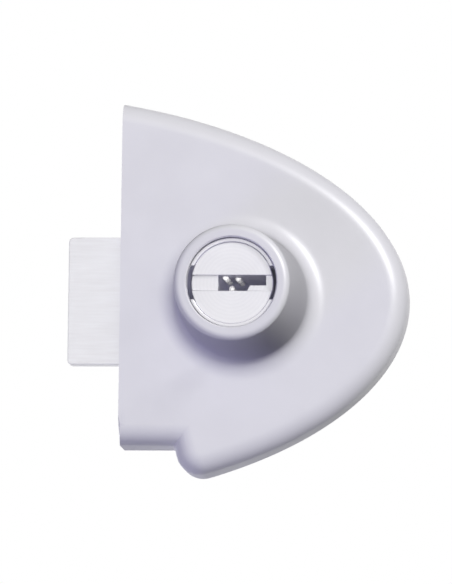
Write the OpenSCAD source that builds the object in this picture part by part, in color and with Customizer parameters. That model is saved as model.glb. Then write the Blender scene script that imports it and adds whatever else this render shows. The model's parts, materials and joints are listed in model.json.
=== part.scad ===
// Glass cabinet door lock: a cover with a key cylinder and a sliding bolt in front of the glass, clamped to
// a plate behind it. X is to the right and Z is up as seen from the front, which faces -Y.
// The origin is on the cylinder's axis, in the plane of the glass's front face.
// Inside the modules a local frame is used: x right, y up, z out of the glass towards the viewer.

/* [Cover outline] */
// Half length of the ellipse that the outline follows
ellipse_a = 69; // [64:0.5:76]
// Half height of the ellipse that the outline follows
ellipse_b = 34.3; // [33:0.1:40]
// Distance from the cylinder's axis to the nose of the outline
nose_x = 27.1; // [26.5:0.1:32]
// Distance from the cylinder's axis to the flat side that the bolt comes out of
side_x = 20.5; // [20:0.1:24]
// Distance from the cylinder's axis down to the bottom of the notch
notch_y = 24.7; // [24:0.1:26.5]
// Length of the notch, from the flat side to the step
notch_l = 9; // [7.5:0.1:10.5]
// Lean of the step from upright, in degrees
step_lean = 14.5; // [5:0.5:20]
// Radius of the corner under the step, seen from the front
corner_r = 4; // [3.8:0.1:5.5]

/* [Cover form] */
// Height of the front face over the back rim, at the cylinder's axis
cover_t = 9.2; // [9:0.1:12]
// Slope of the front face towards the nose, in degrees
face_slope = 5.15; // [2:0.05:6]
// Radius of the rounded edge between the face and the wall
edge_r = 3.4; // [2.8:0.1:3.6]
// Thickness of the outer walls
wall = 2.1; // [1.9:0.1:2.3]
// Thickness of the front face
face_t = 2.2; // [1.8:0.1:2.4]

/* [Boss] */
// Thickness of the boss's wall beside the front end of the cylinder body
boss_wall = 0.9; // [0.8:0.05:1.5]
// Height of the boss over the face
boss_h = 21.5; // [20:0.5:24]
// Draft of the boss's side, in degrees
boss_draft = 3.5; // [2:0.1:4]
// Radius of the flare at the foot of the boss
flare_r = 3.4; // [2.5:0.1:3.8]
// Radius of the rounded front edge of the boss
rim_r = 1.15; // [0.8:0.05:1.4]
// Length of the lip that holds the cylinder body in the front end of the boss
lip_t = 2.6; // [2.2:0.1:3.2]

/* [Cylinder] */
// Radius of the plug's barrel behind its head
barrel_r = 6.4; // [6.3:0.05:6.8]
// How far the plug's head stands out over the barrel
head_step = 0.4; // [0.3:0.05:0.6]
// Thickness of the cylinder body's notched front ring
ring_w = 0.6; // [0.5:0.05:0.9]
// Thickness of the sleeve round the cylinder body
sleeve_t = 0.3; // [0.2:0.05:0.5]
// Thickness of the plug's head
head_t = 2; // [1.6:0.1:2.4]
// Depth of the plug's face below the front end of the boss
plug_drop = 1.55; // [1.3:0.05:1.8]
// Depth of the notched ring of the cylinder body below the front end of the boss
ring_drop = 1; // [0.7:0.05:1.25]
// Height of the notches in that ring
ring_notch_h = 5.6; // [4:0.1:7]
// Depth of the notches in that ring
ring_notch_t = 6; // [5:0.5:7]
// Running clearance round what turns
turn_gap = 0.05; // [0.03:0.01:0.08]
// End clearance of what turns
end_gap = 0.1; // [0.05:0.01:0.15]
// Width of the rib that stops the body from turning
rib_w = 2.5; // [2:0.1:3.5]
// Length of that rib
rib_l = 4; // [3:0.5:6]
// How far that rib stands out into the boss
rib_out = 0.7; // [0.5:0.1:0.9]
// Thickness of the snap rings
snap_t = 0.8; // [0.7:0.05:0.9]
// Width of the ring that holds the cylinder body
snap_w = 1.5; // [1.2:0.05:1.6]
// How far that ring reaches into its groove
snap_seat = 0.6; // [0.4:0.05:0.7]
// Gap in that ring
snap_gap = 5; // [4:0.5:8]
// How far the plug's clip reaches into its groove
clip_seat = 0.9; // [0.6:0.05:1]
// How far the plug's clip stands out over the barrel
clip_out = 1.2; // [0.9:0.05:1.3]
// Gap in the plug's clip
clip_gap = 6; // [5:0.5:8]
// Room between the cam and the snap rings
clip_room = 1.4; // [1:0.1:2]

/* [Keyway] */
// Width of the keyway
key_w = 7.9; // [7.4:0.1:8]
// Height of the keyway
key_h = 2.6; // [2.4:0.1:2.8]
// Distance of the keyway's left end from the axis
key_left = 2.3; // [2.1:0.1:2.6]
// Length of the ward in the keyway's lower right
ward_w = 2.7; // [2:0.1:3.2]
// Height of the ward
ward_h = 1; // [0.6:0.1:1.1]
// Sideways run of the ward's slanted end
ward_slant = 0.5; // [0.2:0.1:0.8]
// Depth of the channel across the plug's face
channel_t = 0.7; // [0.4:0.1:1]
// Depth of the keyway behind the plug's face
key_depth = 17; // [16.5:0.1:17.3]

/* [Tumblers] */
// Radius of a tumbler pin
pin_r = 1; // [0.9:0.05:1.05]
// Clearance of a pin in its chamber
pin_gap = 0.05; // [0.03:0.01:0.08]
// Distance along the axis from an upper pin to the next one, which is on the other side
pin_step = 1.6; // [1.6:0.05:1.8]
// Distance of the first pin behind the plug's head
first_pin = 1.6; // [1.4:0.1:1.8]
// How far an upper pin's tip reaches into the keyway
pin_reach = 0.5; // [0.4:0.05:0.7]
// How far a lower pin's tip reaches into the keyway
low_reach = 1.25; // [1:0.05:1.3]
// Radius of a pin's blunt tip
pin_tip_r = 0.45; // [0.3:0.05:0.6]
// Sideways place of the upper pins left of the axis
pin_left = 1.35; // [1.25:0.05:1.5]
// Sideways place of the upper pins right of the axis
pin_right = 0.6; // [0.55:0.05:0.8]
// Sideways place of the lower pins left of the axis
pin_low = 0.3; // [0.1:0.1:0.5]
// Length of a driver pin
driver_l = 0.95; // [0.8:0.05:1]
// Room for a pin's spring
spring_l = 0.72; // [0.6:0.02:1.2]
// Diameter of the spring wire
spring_wire = 0.16; // [0.12:0.02:0.2]

/* [Drive] */
// Radius of the cam disc
cam_r = 8.55; // [8.4:0.05:8.6]
// Thickness of the cam disc
cam_t = 2.6; // [2.5:0.05:2.7]
// Side of the square tail that turns the cam
tail_w = 4.4; // [4:0.1:4.8]
// Radius of the drive pin
drive_pin_r = 1; // [0.8:0.05:1.1]
// Outer radius of the roller on the drive pin
roller_r = 1.5; // [1.4:0.05:1.6]
// Clearance of the roller in the bolt's slot, each side
yoke_gap = 0.27; // [0.25:0.01:0.35]
// Radius of the cam screw's head
cam_head_r = 3.8; // [3.5:0.1:4]
// Height of the cam screw's head
cam_head_t = 0.9; // [0.7:0.05:0.95]
// Radius of the cam screw's thread
cam_screw_r = 1.5; // [1.25:0.05:1.6]
// How far the cam screw reaches into the plug
cam_screw_l = 3; // [2:0.1:3.3]

/* [Bolt] */
// Width of the bolt
bolt_w = 21.4; // [20.4:0.1:22]
// Thickness of the bolt
bolt_t = 3.2; // [3:0.05:3.3]
// How far the bolt stands out of the flat side
bolt_throw = 9.45; // [8.6:0.05:9.6]
// Radius of the bolt's tip corners
tip_r = 0.8; // [0.5:0.1:1.5]
// Distance of the bolt's inner end from the axis
bolt_tail = 8; // [7:0.5:9]
// Sliding clearance round the bolt
slide_gap = 0.1; // [0.06:0.01:0.15]

/* [Bolt guides] */
// Width of a guide rail
rail_w = 2; // [1.6:0.1:2.2]
// How far a rail's lip laps over the bolt
rail_lap = 0.9; // [0.6:0.1:1]
// Thickness of a rail's lip
rail_lip = 1; // [0.8:0.1:1.1]
// Length of a rail
rail_l = 34; // [31:0.5:35]

/* [Back plate] */
// Thickness of the steel back plate
plate_t = 1; // [0.9:0.1:1.2]
// Width of the cover's rim outside the back plate
rim_w = 1.2; // [1:0.1:1.4]
// Radius of the back plate screws
plate_screw_r = 1.25; // [1:0.05:1.4]
// Length of the back plate screws
plate_screw_l = 5; // [4:0.5:5.5]
// Distance of the left screws from the axis
plate_left = 15; // [14.8:0.1:15.4]
// Distance of the right screws from the axis
plate_right = 9.5; // [8.5:0.1:10]
// Height of the upper left screw
plate_top = 24.5; // [23.5:0.1:25]
// Thickness of the posts round the back plate screws
post_wall = 1.4; // [1:0.1:1.6]
// Height of the right screws above and below the axis
plate_side = 18.3; // [17.8:0.1:18.5]
// Depth of the lower left screw below the axis
plate_low = 18.5; // [18:0.1:19]

/* [Clamp] */
// Thickness of the glass
glass_t = 6; // [5:0.5:8]
// Thickness of the gaskets
gasket_t = 0.8; // [0.5:0.1:1.5]
// Distance of the gaskets' edge inside the outline
gasket_in = 0.6; // [0.3:0.1:1]
// Distance of the clamp screws from the axis, towards the flat side
clamp_x = 7; // [6.5:0.1:7.5]
// Distance between the two clamp screws
clamp_span = 35; // [34.4:0.1:35.6]
// Radius of the clamp screws
clamp_r = 2; // [1.75:0.05:2]
// Clearance round the clamp screws
clamp_gap = 0.2; // [0.1:0.05:0.3]
// How far the clamp screws reach into the cover
clamp_reach = 6; // [4.5:0.5:6.5]
// Thickness of the posts round the clamp screws
clamp_post_wall = 1.8; // [1.4:0.1:2]
// Radius of the bushes in the glass
bush_r = 4.9; // [4:0.1:5]
// How far the bushes stay short of the rear plate, so that the gaskets can be pressed
bush_short = 0.3; // [0.2:0.1:0.5]
// Thickness of the plate behind the glass
rear_t = 4; // [3.4:0.1:6]
// Distance of that plate's edge inside the cover's outline
rear_in = 2.1; // [1.8:0.1:2.2]
// Radius of its rounded edge
rear_edge_r = 1.5; // [0.8:0.1:1.6]

/* [Hidden] */
$fn = 64;
eps = 0.01;
big = 200;

die_cast = [0.85, 0.84, 0.88];
polished = [0.90, 0.90, 0.92];
steel = [0.72, 0.73, 0.75];
brass = [0.80, 0.68, 0.38];
nickel_silver = [0.82, 0.80, 0.76];
rubber = [0.16, 0.16, 0.17];
nylon = [0.92, 0.92, 0.90];

// Radii round the cylinder's axis, from the barrel outwards
pin_edge = max(pin_left, pin_right, pin_low) + pin_r;
plug_r = barrel_r + head_step;
mouth_r = plug_r + ring_w + 2 * turn_gap;
driver_y = barrel_r + 2 * turn_gap;
spring_y = driver_y + driver_l;
body_r = norm([spring_y + spring_l, pin_edge]);
sleeve_r = body_r + sleeve_t;
bore_r = sleeve_r + turn_gap;
boss_r = bore_r + boss_wall + tan(boss_draft) * (boss_h - lip_t);
key_pin_top = sqrt(pow(barrel_r, 2) - pow(pin_edge, 2)) - turn_gap;
clip_groove_r = barrel_r - clip_seat;
clip_r = barrel_r + clip_out;
snap_r = bore_r + snap_seat;

// Levels along the local z axis, from the glass outwards
back_z = gasket_t;
plate_z = back_z + plate_t;
bolt_z = plate_z + slide_gap;
bolt_top = bolt_z + bolt_t;
cam_z = bolt_top + 2 * end_gap;
cam_top = cam_z + cam_t;
face_z = back_z + cover_t;
rim_z = face_z + boss_h;
plug_z = rim_z - plug_drop;
head_z = plug_z - head_t;
lip_z = rim_z - lip_t;
ring_z = rim_z - ring_drop;
clip_z = cam_top + clip_room;
body_z = clip_z + snap_t + end_gap;
rail_z = bolt_top + slide_gap;
rail_top = rail_z + rail_lip;
cam_ledge_z = cam_z + cam_head_t + end_gap;
rear_z = -glass_t - gasket_t;

// The drive pin's circle and the bolt's slot
drive_e = bolt_throw / (2 * sin(45));
drive_a = 135;
slot_r = roller_r + yoke_gap;
slot_x = drive_e * cos(drive_a);
screw_gap = 0.03;
screw_room = 0.5;

// Slope of the face: z falls by fall for each millimetre to the right
fall = tan(face_slope);
face_n = [sin(face_slope), 0, cos(face_slope)];
ellipse_x = nose_x - ellipse_a;
step_n = [-cos(step_lean), -sin(step_lean)];
step_x = notch_l - side_x;
clamp_y = clamp_span / 2;
plate_screws = [
    [-plate_left, plate_top], [plate_right, plate_side], [plate_right, -plate_side], [-plate_left, -plate_low]
];

// Height of the front face over the plane of the glass
function face_at(x) = face_z - fall * x;

// Point of the ellipse, and its outward normal, at its own angle t
function ell(t) = [ellipse_x + ellipse_a * cos(t), ellipse_b * sin(t)];
function ell_n(t) = let (n = [cos(t) / ellipse_a, sin(t) / ellipse_b]) n / norm(n);

// Centre of a corner arc that touches the ellipse at t, and how far it is from touching the step too
function corner_at(t) = ell(t) - corner_r * ell_n(t);
function corner_miss(t) = (corner_at(t) - [step_x, -notch_y]) * step_n + corner_r;
function corner_t(lo, hi, n) =
    n == 0 ? (lo + hi) / 2
    : let (mid = (lo + hi) / 2) corner_miss(mid) > 0 ? corner_t(mid, hi, n - 1) : corner_t(lo, mid, n - 1);

// Vector that moves a corner between two walls by one unit from both
function mitre(a, b) = (a + b) / (1 + a * b);

// The outline, clockwise from the upper left, as [x, y, outward x, outward y]. The round one is for a plate
// that is drawn in on all sides, and has no rows close to its corners, where they would cross. The flat one
// is for the cover, whose flat side is a plain cut: its rows there slide in the plane of the cut only, and
// the first one also holds the slope of the edge that leaves it.
function outline(flat) =
    let (
        t0 = acos((-side_x - ellipse_x) / ellipse_a),
        t1 = corner_t(-80, -40, 30),
        c = corner_at(t1),
        a0 = atan2(ell_n(t1)[1], ell_n(t1)[0]),
        a1 = -180 + step_lean,
        top = ell(t0)[1],
        top_n = ell_n(t0),
        side_n = [-1, 0],
        low_n = [0, -1],
        top_m = flat ? [0, 1 / top_n[1], -top_n[0] / top_n[1]] : mitre(side_n, top_n),
        low_m = flat ? [0, -1, 0] : mitre(low_n, side_n),
        side_m = flat ? [0, 0, 0] : side_n
    )
    concat(
        [concat([-side_x, top], top_m)],
        [for (i = [flat ? 1 : 2 : 39]) let (t = t0 + (t1 - t0) * i / 40) concat(ell(t), ell_n(t))],
        [
            for (i = [0 : 6])
                let (a = a0 + (a1 - a0) * i / 6, v = [cos(a), sin(a)])
                concat(c + corner_r * v, v)
        ],
        [concat([step_x, -notch_y], mitre(step_n, low_n))],
        [for (i = [1 : flat ? 2 : 1]) concat([step_x - notch_l * i / 3, -notch_y], low_n)],
        [concat([-side_x, -notch_y], low_m)],
        [for (i = [1 : 11]) concat([-side_x, -notch_y + (top + notch_y) * i / 12], side_m)]
    );

// Blend of two unit vectors over the angle between them, from a at 0 to b at 1
function slerp(a, b, t, by) = (sin(by * (1 - t)) * a + sin(by * t) * b) / sin(by);

// Ring of points on the rounded edge, from the wall at 0 to the face at 1. A row of the flat side slides
// along its edge, back into the plane of the cut.
function edge_ring(rows, z, n, slope, r, t) = [
    for (q = rows)
        let (
            m = [q[2], q[3], 0],
            by = norm(m) == 0 ? 90 : acos(n * m / norm(m)),
            c = [q[0] - r * m[0], q[1] - r * m[1]],
            p = [c[0], c[1], z - slope * c[0] - r * norm([slope, 1])] + r * slerp(m, n, t, by)
        )
        len(q) == 4 ? p : p + (q[0] - p[0]) * [1, q[4], -slope]
];

// Ring of points on the flare, from the face at 0 to the boss at 1: a ball of the flare's radius touches both
function flare_ring(angles, t) = [
    for (a = angles)
        let (
            k = norm([fall, 1]),
            lift = tan(boss_draft),
            r = (boss_r + flare_r / cos(boss_draft) - flare_r * k * lift) / (1 - fall * cos(a) * lift),
            c = [r * cos(a), r * sin(a), face_z - fall * r * cos(a) + flare_r * k],
            side = [cos(boss_draft) * cos(a), cos(boss_draft) * sin(a), sin(boss_draft)]
        )
        c - flare_r * slerp(face_n, side, t, acos(face_n * side))
];

// Ring round the axis
function round_ring(angles, r, z) = [for (a = angles) [r * cos(a), r * sin(a), z]];

// Middle of a ring
function middle(ring) = [for (q = ring) 1] * ring / len(ring);

// Closed surface through rings of the same number of points, each clockwise seen from the front
module skin(rings) {
    n = len(rings[0]);
    last = (len(rings) - 1) * n;
    points = concat([for (ring = rings) each ring], [middle(rings[0]), middle(rings[len(rings) - 1])]);
    walls = [
        for (j = [0 : n : last - n], i = [0 : n - 1])
            let (a = j + i, b = j + (i + 1) % n)
            each [[a, b, b + n], [a, b + n, a + n]]
    ];
    caps = [
        for (i = [0 : n - 1])
            let (k = (i + 1) % n)
            each [[last + n, k, i], [last + n + 1, last + i, last + k]]
    ];
    polyhedron(points = points, faces = concat(walls, caps), convexity = 8);
}

// Turns the local frame into the part's own: z out of the glass becomes -Y
module place() {
    rotate([90, 0, 0]) children();
}

// Flat block of the outline drawn in by d, from z0 to z1
module outline_block(d, z0, z1) {
    translate([0, 0, z0]) linear_extrude(z1 - z0)
        polygon([for (q = outline(false)) [q[0] - d * q[2], q[1] - d * q[3]]]);
}

// Everything under a plane parallel to the face, through z on the axis
module under_face(z) {
    translate([0, 0, z]) rotate([0, face_slope, 0])
        translate([-big / 2, -big / 2, -big]) cube([big, big, big]);
}

// Round bar from z0 to z1 at a place
module bar(r, z0, z1, at = [0, 0]) {
    translate([at[0], at[1], z0]) cylinder(r = r, h = z1 - z0);
}

// Tube round the axis
module tube(r_out, r_in, z0, z1) {
    difference() {
        bar(r_out, z0, z1);
        bar(r_in, z0 - 1, z1 + 1);
    }
}

// Cross recess that opens towards -z at z
module cross_recess(w, l, z, depth, at = [0, 0]) {
    translate([at[0], at[1], z + depth / 2 - eps]) {
        cube([w, l, depth + 2 * eps], center = true);
        cube([l, w, depth + 2 * eps], center = true);
    }
}

// The solid outside of the cover and its boss
module cover_outside() {
    rows = outline(true);
    steps = 5;
    angles = [for (i = [0 : len(rows) - 1]) atan2(rows[0][1], rows[0][0]) - 360 * i / len(rows)];
    rim_h = boss_h - rim_r + rim_r * sin(boss_draft);
    rim_axis_r = boss_r - tan(boss_draft) * rim_h - rim_r * cos(boss_draft);
    skin(concat(
        [[for (q = rows) [q[0], q[1], back_z]]],
        [for (j = [0 : steps]) edge_ring(rows, face_z, face_n, fall, edge_r, j / steps)],
        [for (j = [0 : steps]) flare_ring(angles, j / steps)],
        [for (j = [0 : 4]) let (b = boss_draft + (90 - boss_draft) * j / 4)
            round_ring(angles, rim_axis_r + rim_r * cos(b), rim_z - rim_r + rim_r * sin(b))],
        [round_ring(angles, mouth_r / 2, rim_z)]
    ));
}

// What stays standing in the cover's hollow: screw posts and the pads that the guide rails bear on
module cover_posts() {
    for (p = plate_screws) bar(plate_screw_r + post_wall, plate_z, rim_z, p);
    for (s = [-1, 1]) {
        bar(clamp_r + clamp_post_wall, plate_z, rim_z, [-clamp_x, s * clamp_y]);
        translate([-side_x, s * (bolt_w / 2 + slide_gap + rail_w / 2) - rail_w / 2, rail_top])
            cube([wall + rail_l, rail_w, rim_z]);
    }
}

module front_housing() {
    color(die_cast) place() difference() {
        cover_outside();
        difference() {
            intersection() {
                outline_block(wall, back_z - 1, face_z + side_x);
                under_face(face_z - face_t / cos(face_slope));
            }
            cover_posts();
        }
        outline_block(rim_w, back_z - 1, plate_z);
        translate([-side_x - 1, -bolt_w / 2 - 1.5 * slide_gap, plate_z])
            cube([wall + 2, bolt_w + 3 * slide_gap, bolt_t + 2.5 * slide_gap]);
        bar(bore_r, plate_z, lip_z);
        bar(mouth_r, plate_z, rim_z + 1);
        bar(snap_r + turn_gap, clip_z, clip_z + snap_t + turn_gap);
        translate([-rib_w / 2 - turn_gap, -bore_r - rib_out - turn_gap, plate_z + bolt_t])
            cube([rib_w + 2 * turn_gap, bore_r, body_z + rib_l - plate_z - bolt_t + turn_gap]);
        for (p = plate_screws) bar(plate_screw_r + screw_gap, back_z, plate_z + plate_screw_l, p);
        for (s = [-1, 1])
            bar(clamp_r + screw_gap, back_z, back_z + clamp_reach + screw_room, [-clamp_x, s * clamp_y]);
    }
}

// Places of the pin stacks: [x, z, side], side 1 above the keyway and -1 below
pin_stacks = concat(
    [for (k = [0 : 5]) [k % 2 == 0 ? -pin_left : pin_right, head_z - first_pin - k * pin_step, 1]],
    [for (k = [0 : 2]) [-pin_low, head_z - first_pin - 2 * k * pin_step, -1]]
);

// Puts a child that points along z at a stack, from y outwards
module at_stack(s, y) {
    translate([s[0], s[2] * y, s[1]]) rotate([-90 * s[2], 0, 0]) children();
}

module cylinder_body() {
    color(polished) place() difference() {
        union() {
            bar(body_r, body_z, lip_z - turn_gap);
            bar(mouth_r - turn_gap, lip_z - 1, ring_z);
            translate([-rib_w / 2, -bore_r - rib_out, body_z]) cube([rib_w, bore_r - barrel_r, rib_l]);
        }
        bar(barrel_r + turn_gap, body_z - 1, rim_z);
        bar(plug_r + turn_gap, head_z - turn_gap, rim_z);
        translate([-mouth_r, -ring_notch_h / 2, ring_z - ring_notch_t])
            cube([2 * mouth_r, ring_notch_h, ring_notch_t + 1]);
        for (s = pin_stacks) at_stack(s, barrel_r / 2) cylinder(r = pin_r + pin_gap, h = body_r);
    }
}

module pin_sleeve() {
    color(steel) place()
        tube(sleeve_r, body_r + turn_gap / 2, body_z + rib_l + 2 * turn_gap, lip_z - turn_gap);
}

module driver_pins() {
    color(brass) place() for (s = pin_stacks) at_stack(s, driver_y) cylinder(r = pin_r, h = driver_l);
}

// Coil spring along z: an unbroken wire whose middle climbs from z0 to z1
module coil(r, wire, z0, z1, turns) {
    steps = 10 * turns;
    sides = 4;
    skin([
        for (i = [0 : steps])
            let (a = 360 * turns * i / steps, z = z0 + (z1 - z0) * i / steps)
            [for (k = [0 : sides - 1])
                let (b = -360 * k / sides, d = r + wire / 2 * cos(b))
                [d * cos(a), d * sin(a), z + wire / 2 * sin(b)]]
    ]);
}

module pin_springs() {
    color(steel) place() for (s = pin_stacks)
        at_stack(s, 0)
            coil(pin_r - spring_wire, spring_wire, spring_y + spring_wire / 2,
                spring_y + spring_l - spring_wire / 2, 2);
}

// Snap ring with a gap at the bottom
module snap(r_out, r_in, gap) {
    difference() {
        tube(r_out, r_in, clip_z, clip_z + snap_t);
        translate([-gap / 2, -r_out - 1, clip_z - 1]) cube([gap, r_out + 1, snap_t + 2]);
    }
}

module retaining_ring() {
    color(steel) place() snap(snap_r, snap_r - snap_w, snap_gap);
}

module plug_clip() {
    color(steel) place() snap(clip_r, clip_groove_r + turn_gap, clip_gap);
}

module back_plate() {
    edge_gap = 0.1;
    color(steel) place() difference() {
        outline_block(rim_w + edge_gap, back_z, plate_z);
        for (p = plate_screws) translate([p[0], p[1], back_z])
            cylinder(r1 = plate_screw_r + plate_t + screw_gap, r2 = plate_screw_r + screw_gap, h = plate_t);
        for (p = plate_screws) bar(plate_screw_r + screw_gap, back_z - 1, plate_z + 1, p);
        for (s = [-1, 1]) bar(clamp_r + clamp_gap, back_z - 1, plate_z + 1, [-clamp_x, s * clamp_y]);
    }
}

module back_plate_screws() {
    color(steel) place() for (p = plate_screws) difference() {
        union() {
            translate([p[0], p[1], back_z])
                cylinder(r1 = plate_screw_r + plate_t, r2 = plate_screw_r, h = plate_t);
            bar(plate_screw_r, plate_z - eps, plate_z + plate_screw_l - screw_room, p);
        }
        cross_recess(plate_screw_r * 0.4, plate_screw_r * 2, back_z, plate_t * 0.8, p);
    }
}

module bolt_guides() {
    inner = bolt_w / 2 + slide_gap;
    color(brass) place() for (s = [0, 1]) mirror([0, s, 0]) difference() {
        translate([-side_x + wall, inner - rail_lap, plate_z])
            cube([rail_l, rail_w + rail_lap, rail_top - plate_z]);
        translate([-side_x, 0, plate_z - 1]) cube([2 * rail_l, inner, rail_z - plate_z + 1]);
    }
}

// Gasket with its two bush holes, from z0 outwards, its edge drawn in by d
module gasket(z0, d) {
    difference() {
        outline_block(d, z0, z0 + gasket_t);
        for (s = [-1, 1]) bar(bush_r + clamp_gap / 2, z0 - 1, z0 + gasket_t + 1, [-clamp_x, s * clamp_y]);
    }
}

module front_gasket() {
    color(rubber) place() gasket(0, gasket_in);
}

module rear_gasket() {
    color(rubber) place() gasket(rear_z, rear_in + gasket_in);
}

module screw_bushes() {
    color(nylon) place() for (s = [-1, 1]) difference() {
        bar(bush_r, rear_z + bush_short, back_z, [-clamp_x, s * clamp_y]);
        bar(clamp_r + clamp_gap, rear_z - 1, back_z + 1, [-clamp_x, s * clamp_y]);
    }
}

module rear_plate() {
    rows = [for (q = outline(false)) [q[0] - rear_in * q[2], q[1] - rear_in * q[3], q[2], q[3]]];
    steps = 4;
    color(die_cast) place() difference() {
        translate([0, 0, rear_z]) mirror([0, 0, 1]) skin(concat(
            [[for (q = rows) [q[0], q[1], 0]]],
            [for (j = [0 : steps]) edge_ring(rows, rear_t, [0, 0, 1], 0, rear_edge_r, j / steps)]
        ));
        for (s = [-1, 1]) {
            bar(clamp_r + clamp_gap, rear_z - rear_t - 1, rear_z + 1, [-clamp_x, s * clamp_y]);
            translate([-clamp_x, s * clamp_y, rear_z - rear_t])
                cylinder(r1 = 2 * clamp_r + clamp_gap, r2 = clamp_r + clamp_gap, h = clamp_r);
        }
    }
}

module clamp_screws() {
    socket_r = 0.7 * clamp_r;
    color(steel) place() for (s = [-1, 1]) difference() {
        union() {
            translate([-clamp_x, s * clamp_y, rear_z - rear_t])
                cylinder(r1 = 2 * clamp_r, r2 = clamp_r, h = clamp_r);
            bar(clamp_r, rear_z - rear_t + clamp_r - eps, back_z + clamp_reach, [-clamp_x, s * clamp_y]);
        }
        translate([-clamp_x, s * clamp_y, rear_z - rear_t - 1])
            cylinder(r = socket_r, h = 1 + 0.8 * clamp_r, $fn = 6);
    }
}

// Outline of the keyway, from the front
module keyway_shape() {
    right = key_w - key_left;
    polygon([
        [-key_left, -key_h / 2], [right - ward_w - ward_slant, -key_h / 2],
        [right - ward_w, -key_h / 2 + ward_h], [right, -key_h / 2 + ward_h],
        [right, key_h / 2], [-key_left, key_h / 2]
    ]);
}

module plug() {
    color(polished) place() difference() {
        union() {
            bar(plug_r, head_z, plug_z);
            bar(barrel_r, cam_top, head_z + eps);
            translate([-tail_w / 2, -tail_w / 2, cam_ledge_z + end_gap])
                cube([tail_w, tail_w, cam_top - cam_ledge_z]);
        }
        translate([-plug_r - 1, -key_h / 2, plug_z - channel_t]) cube([2 * plug_r + 2, key_h, channel_t + 1]);
        translate([0, 0, plug_z - key_depth]) linear_extrude(key_depth + 1) keyway_shape();
        for (s = pin_stacks) at_stack(s, 0) cylinder(r = pin_r + pin_gap, h = barrel_r + 1);
        difference() {
            bar(barrel_r + 1, clip_z - turn_gap, clip_z + snap_t + turn_gap);
            bar(clip_groove_r, clip_z - 1, clip_z + snap_t + 1);
        }
        bar(cam_screw_r + screw_gap, cam_ledge_z - 1, cam_top + cam_screw_l + end_gap);
    }
}

// A key pin stands on its blunt tip in the keyway and ends just inside the barrel's surface
module key_pins() {
    tip_h = pin_r - pin_tip_r;
    color(nickel_silver) place() for (s = pin_stacks) {
        tip_y = key_h / 2 - (s[2] > 0 ? pin_reach : low_reach);
        at_stack(s, tip_y) {
            cylinder(r1 = pin_tip_r, r2 = pin_r, h = tip_h);
            translate([0, 0, tip_h]) cylinder(r = pin_r, h = key_pin_top - tip_y - tip_h);
        }
    }
}

module cam() {
    color(steel) place() difference() {
        bar(cam_r, cam_z, cam_top);
        bar(cam_head_r + end_gap, cam_z - 1, cam_ledge_z);
        translate([-tail_w / 2 - turn_gap, -tail_w / 2 - turn_gap, cam_z])
            cube([tail_w + 2 * turn_gap, tail_w + 2 * turn_gap, cam_t + 1]);
        bar(drive_pin_r, cam_z - 1, cam_top + 1, drive_e * [cos(drive_a), sin(drive_a)]);
    }
}

module drive_pin() {
    color(steel) place()
        bar(drive_pin_r, plate_z + 2 * end_gap, cam_top, drive_e * [cos(drive_a), sin(drive_a)]);
}

module drive_roller() {
    color(brass) place() translate(concat(drive_e * [cos(drive_a), sin(drive_a)], 0))
        tube(roller_r, drive_pin_r + turn_gap, plate_z + 2 * end_gap, cam_z - end_gap);
}

module cam_screw() {
    color(steel) place() difference() {
        union() {
            bar(cam_head_r, cam_ledge_z - cam_head_t, cam_ledge_z);
            bar(cam_screw_r, cam_ledge_z - eps, cam_top + cam_screw_l);
        }
        cross_recess(0.2 * cam_head_r, cam_head_r, cam_ledge_z - cam_head_t, 0.6 * cam_head_t);
    }
}

module bolt() {
    tip_x = -side_x - bolt_throw;
    color(polished) place() difference() {
        union() {
            translate([tip_x + tip_r, -bolt_w / 2, bolt_z]) cube([bolt_tail - tip_x - tip_r, bolt_w, bolt_t]);
            translate([tip_x, -bolt_w / 2 + tip_r, bolt_z]) cube([2 * tip_r, bolt_w - 2 * tip_r, bolt_t]);
            for (s = [-1, 1]) bar(tip_r, bolt_z, bolt_top, [tip_x + tip_r, s * (bolt_w / 2 - tip_r)]);
        }
        for (y = [drive_e * sin(drive_a) - yoke_gap, drive_e + yoke_gap])
            bar(slot_r, bolt_z - 1, bolt_top + 1, [slot_x, y]);
        translate([slot_x - slot_r, drive_e * sin(drive_a) - yoke_gap, bolt_z - 1])
            cube([2 * slot_r, drive_e * (1 - sin(drive_a)) + 2 * yoke_gap, bolt_t + 2]);
    }
}

front_housing();
cylinder_body();
pin_sleeve();
driver_pins();
pin_springs();
retaining_ring();
back_plate();
back_plate_screws();
bolt_guides();
front_gasket();
screw_bushes();
rear_gasket();
rear_plate();
clamp_screws();
plug();
key_pins();
plug_clip();
cam();
drive_pin();
drive_roller();
cam_screw();
bolt();
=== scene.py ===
"""Glass cabinet door lock: its visual model, stage and camera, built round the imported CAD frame."""

import json
import math

import bmesh
import bpy
import numpy as np
from mathutils import Matrix, Vector

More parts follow.
